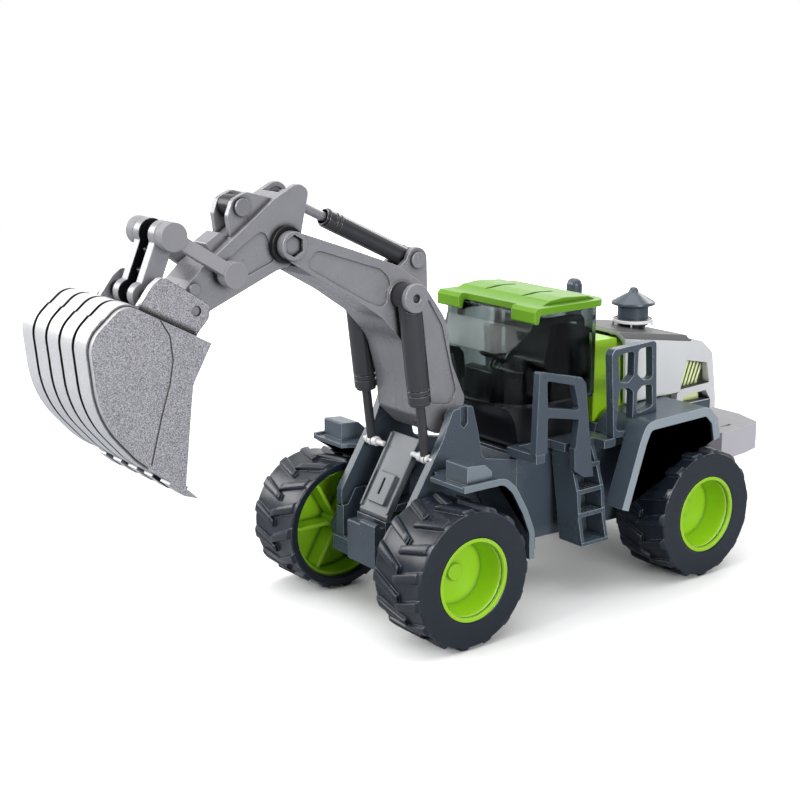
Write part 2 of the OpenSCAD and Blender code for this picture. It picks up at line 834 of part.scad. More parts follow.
module rear_shroud() {
    half = hood_y - 0.6;
    color(silver_grey) placed() difference() {
        union() {
            // tongue that slips under the hood
            plate(-hood_y + wall + 0.2, hood_y - wall - 0.2) outline([
                [-204, rear_deck_z], [-207, 131], [-216.5, 133.4], [-216.5, rear_deck_z]
            ]);
            difference() {
                plate(-half, half) outline(shroud_outline);
                plate(-half - 1, half + 1) outline(inset(hood_outline, -0.25));
            }
        }
        // hollow inside, open in front
        plate(-half + 5.2, half - 5.2) outline([
            [-200, rear_deck_z - 1], [-200, 132], [-215.7, 135], [-224.2, 133, 6], [-233.2, 125.6, 4],
            [-238, rear_deck_z + 2], [-238, rear_deck_z - 1]
        ]);
        // upper side window and lower opening
        plate(-half - 1, half + 1) outline([
            [-212.4, 124.6, 1], [-231.2, 120.7, 1], [-234.4, 107.3, 1], [-206.4, 106.2, 1]
        ]);
        plate(-half - 1, half + 1) outline([
            [-210, 101.6, 1], [-231.2, 102.6, 1], [-235.6, rear_deck_z + 0.5],
            [-210, rear_deck_z + 0.5]
        ]);
        for (s = [0, 1]) mirror([0, s, 0]) translate([-260, half - chamfer_y + 1, 141.5]) rotate([38, 0, 0])
            translate([0, 0, -3]) cube([60, 12, 10]);
    }
}

module rear_grille() {
    lean = [-6.6, 18.4];
    foot_z = rear_deck_z;
    color(lime) placed() {
        plate(-26, 26) outline([
            [-205, foot_z], [-211, 125], [-229, 121], [-233, 104], [-233, foot_z]
        ]);
        for (i = [0:slat_count - 1])
            let (x = -208.5 - i * 19.8 / slat_count)
                plate_pair(26, 29) outline([
                    [x, 105], [x - 2, 105], [x - 2 + lean[0], 105 + lean[1] - i * 0.6],
                    [x + lean[0], 105 + lean[1] - i * 0.6]
                ]);
        plate_pair(26, 29) outline([[-212, rear_deck_z], [-212, 103], [-229, 104], [-231, rear_deck_z]]);
    }
}

module air_intake() {
    color(slate) placed() translate([intake_at[0], intake_at[1], 0]) rotate_extrude() polygon([
        [0, 136], [spigot_r, 136], [spigot_r, 144.1], [9.8, 144.1], [9.8, 146.4], [12.5, 146.6],
        [12.5, 147.8],
        [9.8, 148], [9.8, 156], [13.9, 157.4], [13.7, 159], [3.2, 165], [2.8, 166.6], [1.6, 168], [0, 168]
    ]);
}

module exhaust_pipe() {
    color(slate) placed() translate([pipe_at[0], pipe_at[1], 0]) rotate_extrude() polygon([
        [0, 140], [pipe_r, 140], [pipe_r, 170], [pipe_r - 1, 172.6], [pipe_r - 2.4, 173.8], [0, 174.2]
    ]);
}

weight_top_z = 75.5;
weight_low_z = 57;

module counterweight() {
    plan = [
        [rear_end_x, -46], [-277, -41, 4], [-rear_reach, -18, 10], [-rear_reach, 18, 10], [-277, 41, 4],
        [rear_end_x, 46]
    ];
    color(silver_grey) placed() difference() {
        intersection() {
            translate([0, 0, weight_low_z]) linear_extrude(weight_top_z - weight_low_z) outline(plan);
            plate(-50, 50) outline([
                [rear_end_x, weight_low_z], [rear_end_x, weight_top_z], [-286, weight_top_z],
                [-286, 63], [-281, 58.5, 3], [-262, weight_low_z]
            ]);
        }
        // hollow, open below
        translate([0, 0, weight_low_z - 1]) linear_extrude(weight_top_z - weight_low_z - 2) outline([
            [rear_end_x - 3, -42], [-274, -38, 3], [-281, -17, 8], [-281, 17, 8], [-274, 38, 3],
            [rear_end_x - 3, 42]
        ]);
        for (s = [-1, 1]) translate([-258, s * 34 - 1.5, 60]) cube([10, 3, 20]);
    }
}

// ---- Boom -----------------------------------------------------------------------------------

boom_wall = 3;
boom_ring_r = 7.4;
pivot_bolt_r = 3;
bolt_seat_y = boom_y - 1.6;
elbow_pin_r = 3;
ear_in = 5.6;
ear_out = 8.6;
ear_pin_r = 2.5;

boom_outline = [
    [70.6, 226.7], [63.3, 224.3], [34.3, 214.1, 60], [3.8, 202.7, 20], [-13.8, 190.5, 30],
    [-30.3, 168.1, 25],
    [-32.8, 146, 25], [-43.8, 122, 7], [-37, 104.5, 7], [-22, 104.5, 6], [-9, 117, 4], [-7.2, 134.9, 40],
    [-0.4, 159, 25], [14.2, 174.8, 25], [34.5, 188.7, 60], [58.8, 202.5, 60], [76.6, 213.7]
];
front_panel = [
    [57.5, 216.2, 5], [64.8, 208, 3.5], [26, 185.6, 8], [13.5, 180.5, 4], [8.5, 195.5, 8],
    [16, 202.2, 5]
];
rear_panel = [
    [-15.5, 184.5, 4], [-27, 166, 10], [-32, 146, 14], [-37, 128, 5], [-33.5, 120, 5], [-18, 122.5, 7],
    [-12, 140, 20], [-6, 162, 20], [-3, 176, 6]
];

module boom_half(side) {
    color(arm_grey) placed() on_side(side) difference() {
        union() {
            plate(0, boom_y) outline(boom_outline);
            bar(stick_pivot, boom_ring_r, stick_y + 3.4, boom_y + 2.5);
            bar(elbow, 8, boom_y - 1, boom_y + 0.2);
            // ear that carries the stick cylinder
            plate(ear_in, ear_out) union() {
                outline([[-22.9, 203], [-23.6, 182], [2, 196], [-9, 204]]);
                translate(stick_barrel_pivot) circle(r = 7);
            }
        }
        // hollow between the plates
        difference() {
            plate(-1, boom_y - boom_wall) outline(inset(boom_outline, boom_wall));
            bar(boom_pivot, tower_pin_r + 3, -2, boom_y);
            bar(elbow, 6, -2, boom_y);
        }
        // fork round the stick
        plate(-1, stick_y + 3.4) outline([[57, 195], [57, 232], [90, 232], [90, 195]]);
        // sunk panels on the outer face
        plate(boom_y - 0.8, boom_y + 1) difference() {
            union() {
                outline(front_panel);
                outline(rear_panel);
            }
            translate(elbow) circle(r = 9.5);
        }
        bar(stick_pivot, pivot_bolt_r, 0, boom_y + 1);
        hex_bar(stick_pivot, 5.9, bolt_seat_y, boom_y + 3);
        bar(boom_pivot, tower_pin_r, -1, boom_y + 1);
        bar(elbow, elbow_pin_r, -1, boom_y + 1);
        bar(stick_barrel_pivot, ear_pin_r, 0, ear_out + 1);
    }
}

disc_out = 32;
elbow_disc_r = 8;

module boom_pins() {
    color(arm_grey) placed() {
        bar(boom_pivot, tower_pin_r, -pin_end_y, pin_end_y);
        bar(elbow, elbow_pin_r, -28.8, 28.8);
        for (s = [0, 1]) mirror([0, s, 0]) difference() {
            bar(elbow, elbow_disc_r, 28.8, disc_out);
            bar(elbow, 2.4, 29.6, disc_out + 1);
        }
        bar(stick_barrel_pivot, ear_pin_r, -ear_out - 0.4, ear_out + 0.4);
        bar_pair(stick_barrel_pivot, 4.5, ear_out, ear_out + 1.8);
    }
}

module stick_pivot_bolts() {
    color("gray") placed() {
        bar(stick_pivot, pivot_bolt_r, -bolt_seat_y - 1, bolt_seat_y + 1);
        for (s = [0, 1]) mirror([0, s, 0]) hex_bar(stick_pivot, 5.4, bolt_seat_y, bolt_seat_y + 1.6);
    }
}

// ---- Cylinders ------------------------------------------------------------------------------

boom_mouth = 61.5;
boom_rod_reach = 68;
stick_mouth = 63;
stick_rod_reach = 55;
slide_bore_r = 4;

// A barrel from its own pin towards the far pin, with an eye, a collar and a bore for the rod
module barrel(from, to, y, r, mouth, eye_r, eye_half, pin_r, bore_from) {
    aim = unit(to - from);
    difference() {
        union() {
            bar(from, eye_r, y - eye_half, y + eye_half);
            strut(from, from + aim * (mouth - 1.5), y, r);
            strut(from + aim * (mouth - 1.6), from + aim * mouth, y, r - 0.8);
        }
        strut(from + aim * bore_from, from + aim * (mouth + 1), y, slide_bore_r);
        // two shallow grooves near the mouth
        for (d = [6, 9])
            difference() {
                strut(from + aim * (mouth - d - 0.8), from + aim * (mouth - d), y, r + 1);
                strut(from + aim * (mouth - d - 2), from + aim * (mouth - d + 1), y, r - 0.5);
            }
        bar(from, pin_r + running, y - eye_half - 1, y + eye_half + 1);
    }
}

module piston_rod(from, to, y, reach, eye_r, eye_half, pin_r) {
    aim = unit(to - from);
    difference() {
        union() {
            bar(from, eye_r, y - eye_half, y + eye_half);
            strut(from, from + aim * reach, y, rod_r);
        }
        bar(from, pin_r + running, y - eye_half - 1, y + eye_half + 1);
    }
}

barrel_eye_in = boom_y + gap + 0.2;
barrel_eye_out = 28.8 - gap;

module boom_barrel(side) {
    eye_mid = (barrel_eye_in + barrel_eye_out) / 2;
    color("dimgray") placed() on_side(side) difference() {
        union() {
            barrel(elbow, rod_anchor, boom_cylinder_y, boom_barrel_r, boom_mouth, 2, 1, 0.5, 9);
            bar(elbow, 7.3, barrel_eye_in, barrel_eye_out);
        }
        bar(elbow, elbow_pin_r + running, eye_mid - 12, eye_mid + 12);
        // room for the elbow disc
        bar(elbow, elbow_disc_r + gap, barrel_eye_out, disc_out + 1);
    }
}

module boom_rod(side) {
    color(arm_grey) placed() on_side(side) difference() {
        piston_rod(rod_anchor, elbow, boom_cylinder_y, boom_rod_reach, bush_r, rod_eye_half, anchor_pin_r);
        // room for the bushes on both sides of the eye
        bar(rod_anchor, bush_r + gap, boom_cylinder_y - 4, boom_cylinder_y - rod_eye_half);
        bar(rod_anchor, bush_r + gap, boom_cylinder_y + rod_eye_half, boom_cylinder_y + 4);
    }
}

module stick_barrel() {
    color("dimgray") placed()
        barrel(
            stick_barrel_pivot, stick_rod_pivot, 0, stick_barrel_r, stick_mouth,
            6.4, ear_in - gap, ear_pin_r, 9
        );
}

stick_rod_pin_r = 2.5;

module stick_rod() {
    color(arm_grey) placed()
        piston_rod(stick_rod_pivot, stick_barrel_pivot, 0, stick_rod_reach, 5, 4, stick_rod_pin_r);
}

// ---- Stick ----------------------------------------------------------------------------------

stick_wall = 2.5;
stick_outline = [
    [64, 250.6, 6], [57.6, 246.5, 4], [62.3, 225.4, 3], [62.8, 213, 6], [71, 208, 6], [78.1, 206.4],
    [126.5, 186.4, 3], [136.5, 187, 5], [139, 194.5, 5], [128.5, 206, 2], [121.8, 212.1, 6], [113.7, 217.5],
    [78.8, 243]
];
stick_panel = [
    [85.6, 228.6, 4], [97.4, 221.6], [103.5, 217, 3], [108.6, 215, 1], [99, 206.6, 3], [95.6, 205.4, 2],
    [77, 212.4, 4]
];
bracket_pin_at = [96.5, 240];
bracket_pin_r = 2.2;
link_pin_r = 2.5;

module stick_frame() {
    color(arm_grey) placed() difference() {
        union() {
            plate(-stick_y, stick_y) outline(stick_outline);
            // clevis on the top edge, and the stop block in front of it
            plate_pair(5.4, 8.4) outline([
                [77, 243], [93, 247.4, 4], [101.5, 244, 5], [104.5, 236, 3], [103, 224], [90, 232]
            ]);
            plate(-6, 6) outline([[98.5, 222.6], [108, 228, 1], [116.4, 222.8, 1], [110, 215]]);
            bar_pair([127.4, 202.1], 2.8, stick_y - 1, 14);
        }
        difference() {
            plate(-stick_y + stick_wall, stick_y - stick_wall) outline(inset(stick_outline, stick_wall));
            bar(stick_pivot, pivot_bolt_r + 2.5, -stick_y, stick_y);
            bar(dog_bone_pivot, link_pin_r + 2, -stick_y, stick_y);
            bar(bucket_pivot, 5.5, -stick_y, stick_y);
        }
        // open top and back of the peak, where the piston rod enters
        plate(-stick_y + 3, stick_y - 3) outline([[50, 227], [50, 260], [76, 260], [72, 240], [66, 227]]);
        plate(stick_y - 0.8, stick_y + 1) outline(stick_panel);
        plate(-stick_y - 1, -stick_y + 0.8) outline(stick_panel);
        bar(stick_pivot, pivot_bolt_r + running, -stick_y - 1, stick_y + 1);
        bar(stick_rod_pivot, stick_rod_pin_r, -stick_y + 1.2, stick_y - 1.2);
        bar(dog_bone_pivot, link_pin_r, -stick_y - 1, stick_y + 1);
        bar(bucket_pivot, link_pin_r + running, -stick_y - 1, stick_y + 1);
        bar(bracket_pin_at, bracket_pin_r, -20, 20);
    }
}

// The dog bones stand wide at the stick and close together at the link
bone_in = 16.6;
bone_out = 24;
link_in = 11;
link_out = 18.4;
link_skin = 1.2;

module stick_pins() {
    color("black") placed() {
        bar(stick_rod_pivot, stick_rod_pin_r, -stick_y + 1.2, stick_y - 1.2);
        bar(dog_bone_pivot, link_pin_r, -bone_out + link_skin + 0.3, bone_out - link_skin - 0.3);
        bar_pair(dog_bone_pivot, 6, stick_y, bone_in - gap);
        bar(bracket_pin_at, bracket_pin_r, -9, 9);
        bar(bracket_pin_at, 5.8, -5, 5);
        bar_pair(bracket_pin_at, 4.5, 8.4, 10.6);
        for (s = [0, 1]) mirror([0, s, 0]) difference() {
            bar(stick_pivot, 9.6, stick_y, stick_y + 3);
            bar(stick_pivot, pivot_bolt_r + running, stick_y - 1, stick_y + 4);
        }
    }
}

// ---- Bucket linkage -------------------------------------------------------------------------

bone_end_r = 6.7;
link_end_r = 7.2;
joint_pin_r = 1.5;
joint_bore_r = 2.9;

shank_half = 3.4;
shank_step = 0.4;
shank_straight = 8;

module dog_bone(side) {
    reach = link_joint - dog_bone_pivot;
    span = norm(reach);
    color(arm_grey) placed() on_side(side) difference() {
        union() {
            bar(dog_bone_pivot, bone_end_r, bone_in, bone_out);
            bar(link_joint, link_end_r, link_in, link_out);
            // shank, cranked inwards from the stick to the link and a step thinner than the eyes
            translate([dog_bone_pivot[0], 0, dog_bone_pivot[1]]) rotate([0, -atan2(reach[1], reach[0]), 0])
                translate([0, 0, -shank_half]) linear_extrude(2 * shank_half) polygon([
                    [0, bone_in + shank_step],
                    [shank_straight, bone_in + shank_step],
                    [span - shank_straight, link_in + shank_step],
                    [span, link_in + shank_step],
                    [span, link_out - shank_step],
                    [span - shank_straight, link_out - shank_step],
                    [shank_straight, bone_out - shank_step],
                    [0, bone_out - shank_step]
                ]);
        }
        bar(dog_bone_pivot, link_pin_r + running, bone_in - 1, bone_out - link_skin);
        bar(link_joint, joint_bore_r, link_in - 1, link_out - link_skin);
    }
}

bar_in = 4.6;
bar_out = 10.2;
h_link_r = 6.4;
h_link_plate = [[156.7, 202.6], [145.4, 229.6], [134.8, 229], [146.7, 200.4]];

module h_link() {
    color(arm_grey) placed() difference() {
        union() {
            plate_pair(bar_in, bar_out) polygon(h_link_plate);
            bar_pair(link_pivot, h_link_r, bar_in, bar_out);
            bar_pair(link_joint, link_end_r, bar_in, link_in - gap);
            bar_pair(link_joint, joint_pin_r, bar_out, link_out - link_skin - 0.3);
            // web near the back edges, and two short stubs on the left plate
            plate(-bar_in - 0.5, bar_in + 0.5) polygon([
                [146.4, 205.4], [137.3, 227.2], [135.8, 226.6], [144.9, 204.8]
            ]);
            for (at = [[151.8, 212.2], [147.8, 221.8]])
                translate([at[0], 0.8, at[1]]) rotate([0, 22.5, 0])
                    translate([-4, 0, -1]) cube([4, bar_in, 2]);
        }
        bar(link_pivot, link_pin_r + running, -bar_out - 1, bar_out + 1);
    }
}

// ---- Bucket ---------------------------------------------------------------------------------

ear_plate_in = 18.2;
ear_plate_out = 22.6;

// A point on the bucket's straight top, d from the lip and lifted off the plate
function on_top(d, lift) =
    let (along = unit(flat_point(bucket_back[0]) - bucket_lip))
    bucket_lip + d * along + lift * [-along[1], along[0]];

bucket_lip = [133, 179.8];
bucket_edge = [150, 108.2];
bucket_back = [[178.2, 203.9, 10], [197, 188.3, 14], [193.4, 150, 50], [174.2, 127.8, 30]];
bucket_curve = concat([bucket_lip], bucket_back, [bucket_edge]);
bucket_cheek = concat(bucket_curve, [[148.6, 121.1, 4], [144.8, 153.4, 6], [143.7, 161, 8]]);
cheek_groove = [
    [160.1, 194.5], [155.1, 186.2, 5], [153.9, 174, 10], [156.1, 162.6, 20], [160.9, 148.3, 20],
    [167.6, 124.5]
];

module bucket_shell() {
    tooth_w = 0.6 * bucket_w / tooth_count;
    band_pitch = (bucket_w - 4) / band_count;
    band_w = band_pitch - 2.4;
    color("lightgray") placed() {
        difference() {
            plate_pair(bucket_y - bucket_t, bucket_y) outline(bucket_cheek, 8);
            plate_pair(bucket_y - 0.5, bucket_y + 1) outline(ribbon(cheek_groove, 0.9));
        }
        plate(-bucket_y + 0.5, bucket_y - 0.5) outline(ribbon(bucket_curve, -bucket_t), 8);
        // raised bands round the back
        for (i = [0:band_count - 1])
            let (y = -bucket_y + 2 + (i + 0.5) * band_pitch)
                plate(y - band_w / 2, y + band_w / 2) outline(ribbon([
                    [188, 196.4], bucket_back[1], bucket_back[2], bucket_back[3], [168, 122.4]
                ], 1.2), 8);
        // teeth along the cutting edge
        for (i = [0:tooth_count - 1])
            let (y = -bucket_y + i * (bucket_w - tooth_w) / (tooth_count - 1))
                plate(y, y + tooth_w) outline([
                    [158, 114.8], [159, 113.2], [151, 106.2, 1], [142.9, 103.3], [149, 109.2]
                ]);
    }
}

module bucket_bracket() {
    color("lightgray") placed() difference() {
        union() {
            plate_pair(ear_plate_in, ear_plate_out) outline([
                [162.9, 198.6], [155.7, 207.7, 2], [149.9, 211.8, 4], [130.2, 199.4], [124.0, 195, 3],
                [125.2, 188.6, 3], [131.6, 182], on_top(0, 0), on_top(33, 0)
            ]);
            // foot that lies on the bucket's top plate
            plate(-ear_plate_out, ear_plate_out) outline([
                on_top(0, 0), on_top(41, 0), on_top(40, 2), on_top(0, 2)
            ]);
        }
        bar(bucket_pivot, link_pin_r, -ear_plate_out - 1, ear_plate_out + 1);
        bar(link_pivot, link_pin_r, -ear_plate_out + 1, ear_plate_out - 1);
    }
}

module bucket_pins() {
    color("gray") placed() {
        bar(bucket_pivot, link_pin_r, -ear_plate_out + 1, ear_plate_out - 1);
        bar(link_pivot, link_pin_r, -ear_plate_out + 1.2, ear_plate_out - 1.2);
        bar_pair(bucket_pivot, 4.6, stick_y + gap, ear_plate_in);
        bar_pair(link_pivot, 3.4, bar_out + gap, ear_plate_in);
    }
}

// ---- Assembly -------------------------------------------------------------------------------

chassis();
tower(1);  // tower_left
tower(-1);  // tower_right
center_cover();
front_bumper();
tower_pins();
front_fender(1);  // front_fender_left
front_fender(-1);  // front_fender_right
cab_base();
cab_glass();
cab_frame();
cab_roof();
seat();
steering_wheel();
dashboard();
side_step(1);  // side_step_left
side_step(-1);  // side_step_right
handrail(1);  // handrail_left
handrail(-1);  // handrail_right
guard(1);  // guard_left
guard(-1);  // guard_right
rear_fender(1);  // rear_fender_left
rear_fender(-1);  // rear_fender_right
engine_body();
hood_top();
rear_shroud();
rear_grille();
air_intake();
exhaust_pipe();
counterweight();
body_screws();
axle(front_axle_at);  // front_axle
rim(front_axle_at, 1);  // front_rim_left
rim(front_axle_at, -1);  // front_rim_right
tyre(front_axle_at, 1, front_turn);  // front_tyre_left
tyre(front_axle_at, -1, front_turn);  // front_tyre_right
axle(rear_axle_at);  // rear_axle
rim(rear_axle_at, 1);  // rear_rim_left
rim(rear_axle_at, -1);  // rear_rim_right
tyre(rear_axle_at, 1, rear_turn);  // rear_tyre_left
tyre(rear_axle_at, -1, rear_turn);  // rear_tyre_right
boom_half(1);  // boom_left
boom_half(-1);  // boom_right
boom_pins();
stick_pivot_bolts();
boom_barrel(1);  // boom_barrel_left
boom_barrel(-1);  // boom_barrel_right
boom_rod(1);  // boom_rod_left
boom_rod(-1);  // boom_rod_right
stick_barrel();
stick_rod();
stick_frame();
stick_pins();
dog_bone(1);  // dog_bone_left
dog_bone(-1);  // dog_bone_right
h_link();
bucket_shell();
bucket_bracket();
bucket_pins();
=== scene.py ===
import json
import math

import bmesh
import bpy
from mathutils import Matrix, Vector


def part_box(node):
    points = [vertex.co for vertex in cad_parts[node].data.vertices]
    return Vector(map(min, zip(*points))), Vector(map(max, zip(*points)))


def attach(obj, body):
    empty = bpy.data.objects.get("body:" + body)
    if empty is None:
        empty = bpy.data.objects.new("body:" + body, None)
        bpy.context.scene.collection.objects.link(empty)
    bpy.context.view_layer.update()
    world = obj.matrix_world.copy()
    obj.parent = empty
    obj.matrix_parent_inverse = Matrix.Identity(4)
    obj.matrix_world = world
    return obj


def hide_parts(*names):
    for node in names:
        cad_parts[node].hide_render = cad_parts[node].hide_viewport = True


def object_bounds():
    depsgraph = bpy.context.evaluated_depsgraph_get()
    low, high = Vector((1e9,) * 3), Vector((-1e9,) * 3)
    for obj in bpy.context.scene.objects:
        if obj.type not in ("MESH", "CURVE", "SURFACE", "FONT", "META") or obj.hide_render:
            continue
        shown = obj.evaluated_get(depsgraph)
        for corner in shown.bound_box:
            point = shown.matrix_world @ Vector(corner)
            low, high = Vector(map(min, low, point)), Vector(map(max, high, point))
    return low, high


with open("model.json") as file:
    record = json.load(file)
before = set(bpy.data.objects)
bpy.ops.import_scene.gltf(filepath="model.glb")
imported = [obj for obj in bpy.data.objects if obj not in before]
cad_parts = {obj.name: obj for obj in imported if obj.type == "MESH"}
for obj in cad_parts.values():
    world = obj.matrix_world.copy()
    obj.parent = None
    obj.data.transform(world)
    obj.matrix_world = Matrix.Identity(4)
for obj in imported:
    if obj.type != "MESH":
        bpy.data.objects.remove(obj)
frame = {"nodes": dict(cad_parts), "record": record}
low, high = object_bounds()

scene = bpy.context.scene
nodes = frame["nodes"]
record = frame["record"]
MM = 0.001

# ---- Camera: three-quarter view from the front left, a little above --------------------------

YAW, PITCH, LENS, SENSOR = 52.38, 13.885, 67.34, 36.0
centre = (low + high) / 2
yaw, pitch = math.radians(YAW), math.radians(PITCH)
forward = Vector((-math.cos(yaw) * math.cos(pitch), -math.sin(yaw) * math.cos(pitch), -math.sin(pitch)))
right = forward.cross(Vector((0, 0, 1))).normalized()
upward = right.cross(forward)
camera_data = bpy.data.cameras.new("studio_camera")
camera_data.lens = LENS
camera_data.sensor_width = SENSOR
camera = bpy.data.objects.new("studio_camera", camera_data)
scene.collection.objects.link(camera)
camera.rotation_euler = Matrix((right, upward, -forward)).transposed().to_euler()
camera.location = centre - right * 0.0261 - upward * 0.0071 - forward * 0.8679
scene.camera = camera
scene.view_settings.view_transform = "Standard"


# ---- Material tools --------------------------------------------------------------------------

def shader_tree(name):
    """A new material with an empty node tree and one Principled shader."""
    material = bpy.data.materials.new(name)
    material.use_nodes = True
    tree = material.node_tree
    tree.nodes.clear()
    output = tree.nodes.new("ShaderNodeOutputMaterial")
    shader = tree.nodes.new("ShaderNodeBsdfPrincipled")
    tree.links.new(shader.outputs["BSDF"], output.inputs["Surface"])
    return material, tree, shader


def feed(tree, socket, value):
    """Links a node's output to a socket, or sets the socket's own value."""
    if isinstance(value, bpy.types.NodeSocket):
        tree.links.new(value, socket)
    elif isinstance(value, tuple):
        socket.default_value = (*value, 1) if len(socket.default_value) == 4 else value
    else:
        socket.default_value = value


def place(tree):
    """Object coordinates: the row frame, fixed to the piece's body."""
    coords = tree.nodes.get("place") or tree.nodes.new("ShaderNodeTexCoord")
    coords.name = "place"
    return coords.outputs["Object"]


def noise(tree, scale, detail=2.0, rough=0.5, stretch=None):
    """Noise fixed to the piece, with scale per metre; stretch squeezes it along each axis."""
    texture = tree.nodes.new("ShaderNodeTexNoise")
    texture.inputs["Scale"].default_value = scale
    texture.inputs["Detail"].default_value = detail
    texture.inputs["Roughness"].default_value = rough
    where = place(tree)
    if stretch:
        mapping = tree.nodes.new("ShaderNodeMapping")
        mapping.inputs["Scale"].default_value = stretch
        tree.links.new(where, mapping.inputs["Vector"])
        where = mapping.outputs["Vector"]
    tree.links.new(where, texture.inputs["Vector"])
    return texture.outputs["Fac"]


def spread(tree, value, low_out, high_out, low_in=0.3, high_in=0.7):
    """Maps value from low_in..high_in to low_out..high_out."""
    node = tree.nodes.new("ShaderNodeMapRange")
    for name, number in (("From Min", low_in), ("From Max", high_in), ("To Min", low_out), ("To Max", high_out)):
        node.inputs[name].default_value = number
    tree.links.new(value, node.inputs["Value"])
    return node.outputs["Result"]


def mixed(tree, factor, a, b):
    """Colour a where factor is 0, and colour b where it is 1."""
    node = tree.nodes.new("ShaderNodeMix")
    node.data_type = "RGBA"
    feed(tree, node.inputs[0], factor)
    feed(tree, node.inputs[6], a)
    feed(tree, node.inputs[7], b)
    return node.outputs[2]


def maths(tree, operation, a, b=0.0):
    """One Math node; a and b are sockets or numbers."""
    node = tree.nodes.new("ShaderNodeMath")
    node.operation = operation
    feed(tree, node.inputs[0], a)
    feed(tree, node.inputs[1], b)
    return node.outputs[0]


def parts_of(tree, vector):
    """The X, Y and Z outputs of a vector."""
    node = tree.nodes.new("ShaderNodeSeparateXYZ")
    tree.links.new(vector, node.inputs[0])
    return node.outputs


EDGE_RADIUS = 0.6 * MM


def rounded(tree):
    """The surface direction with its hard edges rounded over."""
    bevel = tree.nodes.get("rounded") or tree.nodes.new("ShaderNodeBevel")
    bevel.name = "rounded"
    bevel.samples = 6
    bevel.inputs["Radius"].default_value = EDGE_RADIUS
    return bevel.outputs["Normal"]


def edges(tree):
    """1 along hard edges, broken up by a noise: where edges are painted paler, as painted highlight and as rubbing
    from handling.
    """
    geometry = tree.nodes.new("ShaderNodeNewGeometry")
    turn = tree.nodes.new("ShaderNodeVectorMath")
    turn.operation = "DOT_PRODUCT"
    tree.links.new(rounded(tree), turn.inputs[0])
    tree.links.new(geometry.outputs["Normal"], turn.inputs[1])
    ridge = spread(tree, turn.outputs["Value"], 1, 0, 0.80, 0.985)
    return maths(tree, "MULTIPLY", ridge, spread(tree, noise(tree, 130, 3), 0.55, 1.0))


def painted_crevice_shade(tree, reach=0.0035, open_above=0.85, full_below=0.40):
    """Painted shade: 1 deep in grooves, slots and joints between parts, where ambient occlusion finds them shut in."""
    cavity = tree.nodes.new("ShaderNodeAmbientOcclusion")
    cavity.samples = 6
    cavity.inputs["Distance"].default_value = reach
    return spread(tree, cavity.outputs["AO"], 1, 0, full_below, open_above)


def shade(colour, k):
    """The colour k times as bright, held at white."""
    return tuple(min(1.0, c * k) for c in colour)


FINE_GRAIN = 0.02 * MM


def grain(tree, shader, height, depth, strength=0.6):
    """Fine surface relief on top of the rounded edges."""
    bump = tree.nodes.new("ShaderNodeBump")
    bump.inputs["Strength"].default_value = strength
    bump.inputs["Distance"].default_value = depth
    tree.links.new(height, bump.inputs["Height"])
    tree.links.new(rounded(tree), bump.inputs["Normal"])
    tree.links.new(bump.outputs["Normal"], shader.inputs["Normal"])


def surface(shader, metallic=0.0, spec=0.5):
    """Gloss settings that are the same all over the piece."""
    shader.inputs["Metallic"].default_value = metallic
    shader.inputs["Specular IOR Level"].default_value = spec


def moulded(name, colour, rough, edge_wear_and_highlight, edge_wear_and_highlight_share=0.6, vary=0.08, **gloss):
    """Moulded plastic: patchy colour, fine grain, handled roughness, edges painted paler as painted highlight and
    rubbing, and painted shade in the corners.
    """
    material, tree, shader = shader_tree(name)
    patches = spread(tree, noise(tree, 24, 3), 0, 1)
    body = mixed(tree, patches, shade(colour, 1 - vary), shade(colour, 1 + vary))
    # Paler edges: painted highlight, also rubbing from handling
    body = mixed(tree, maths(tree, "MULTIPLY", edges(tree), edge_wear_and_highlight_share), body, edge_wear_and_highlight)
    # Painted shade: darker in grooves, slots and joints between parts
    body = mixed(tree, maths(tree, "MULTIPLY", painted_crevice_shade(tree), 0.95), body, shade(colour, 0.12))
    tree.links.new(body, shader.inputs["Base Color"])
    handled = spread(tree, noise(tree, 60, 3, 0.5), rough - 0.025, rough + 0.035)
    tree.links.new(handled, shader.inputs["Roughness"])
    surface(shader, **gloss)
    grain(tree, shader, noise(tree, 2200, 2), FINE_GRAIN)
    return material


def brushed_metal_look(name, colour, rough, edge_wear_and_highlight):
    """Metallic grey plastic of the arm: fine flow marks along the part, bright edges as painted highlight and rubbing,
    and painted shade in creases.
    """
    material, tree, shader = shader_tree(name)
    flow = noise(tree, 70, 4, 0.6, (1, 6, 1))
    body = mixed(tree, spread(tree, flow, 0, 1), shade(colour, 0.95), shade(colour, 1.05))
    # Bright edges: painted highlight, also rubbing from handling
    body = mixed(tree, maths(tree, "MULTIPLY", edges(tree), 0.9), body, edge_wear_and_highlight)
    # Painted shade: darker in creases and between parts
    body = mixed(tree, maths(tree, "MULTIPLY", painted_crevice_shade(tree, 0.003, 0.92, 0.50), 0.95), body, shade(colour, 0.06))
    tree.links.new(body, shader.inputs["Base Color"])
    tree.links.new(spread(tree, noise(tree, 60, 3, 0.5), rough - 0.03, rough + 0.03), shader.inputs["Roughness"])
    surface(shader, metallic=0.25)
    grain(tree, shader, noise(tree, 1800, 2), FINE_GRAIN)
    return material


# Bucket bands across the width, in millimetres and as shares of the distance between grooves
GROOVE_PITCH = 14.4
BANDED_HALF_WIDTH = 31
# How far the painted shade in the grooves, and on the band edges beside them, reaches
GROOVE_HALF, GROOVE_SOFT = 0.088, 0.097
RIM_HALF, RIM_SOFT = 0.135, 0.150


